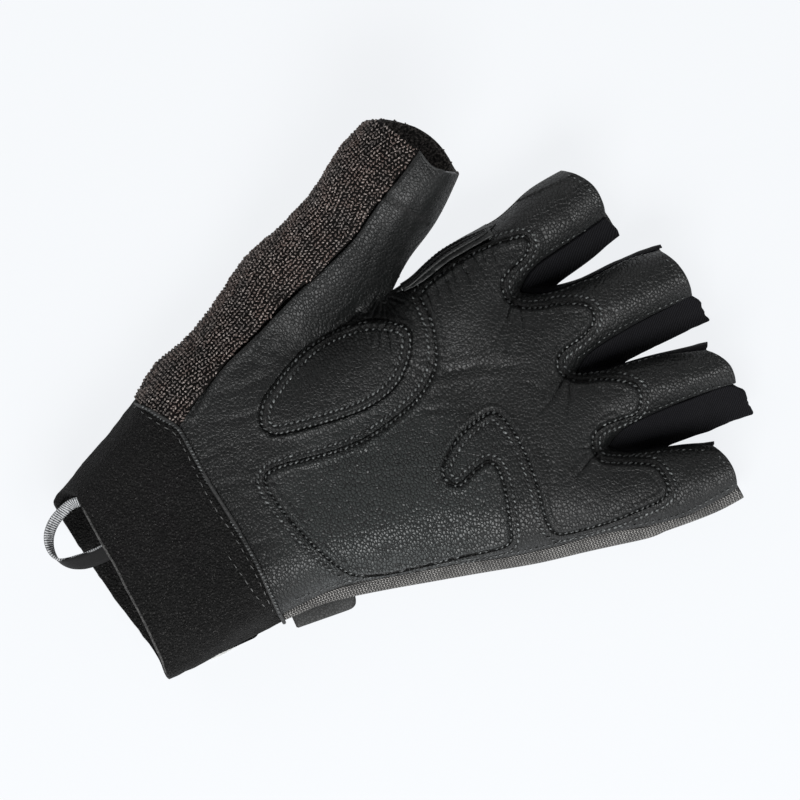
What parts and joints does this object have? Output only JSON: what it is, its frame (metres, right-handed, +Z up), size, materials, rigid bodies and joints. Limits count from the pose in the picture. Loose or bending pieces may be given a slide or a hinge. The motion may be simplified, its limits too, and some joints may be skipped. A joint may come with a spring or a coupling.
{
  "type": "climbing glove",
  "caption": "Left half-finger climbing glove lying palm up, leather palm with second layers, knitted back and thumb, soft wrist band with strap and tape loop",
  "frame": {"origin": "Middle of the glove's box, on the surface that the glove lies on with its back down", "axes": "X from the wrist to the fingertips, Y towards the thumb, Z up out of the palm"},
  "size_m": [0.1896, 0.1366, 0.0406],
  "materials": {
    "palm_leather": "dark grey goat leather, pebbled grain, satin",
    "patch_leather": "dark grey goat leather, pebbled grain, satin",
    "binding_leather": "dark grey leather with three sewn ridges",
    "back_knit": "fine grey-beige knit, matt",
    "thumb_knit": "coarse brown-grey knit, matt",
    "stretch_fabric": "near-black fine twill stretch fabric, raw edges",
    "cuff_plush": "black short-pile loop fabric",
    "binding_fabric": "dark rolled binding",
    "loop_tape": "woven tape, dark outside, grey inside",
    "strap_fabric": "black short-pile fabric",
    "strap_patch": "plain pale grey moulded patch, matt",
    "tab_leather": "dark grey leather, sewn edge"
  },
  "bodies": {
    "root": {"palm_leather": "palm_leather", "back_panel": "back_knit", "thumb_knit": "thumb_knit", "fourchette_ring_little": "stretch_fabric", "fourchette_middle_ring": "stretch_fabric", "fourchette_index_middle": "stretch_fabric", "cuff": "cuff_plush", "palm_patch": "patch_leather", "thumb_patch": "patch_leather", "index_binding": "binding_leather", "cuff_binding": "binding_fabric", "pull_loop": "loop_tape", "wrist_strap": "strap_fabric", "strap_patch": "strap_patch", "pull_tab": "tab_leather"}
  },
  "joints": []
}
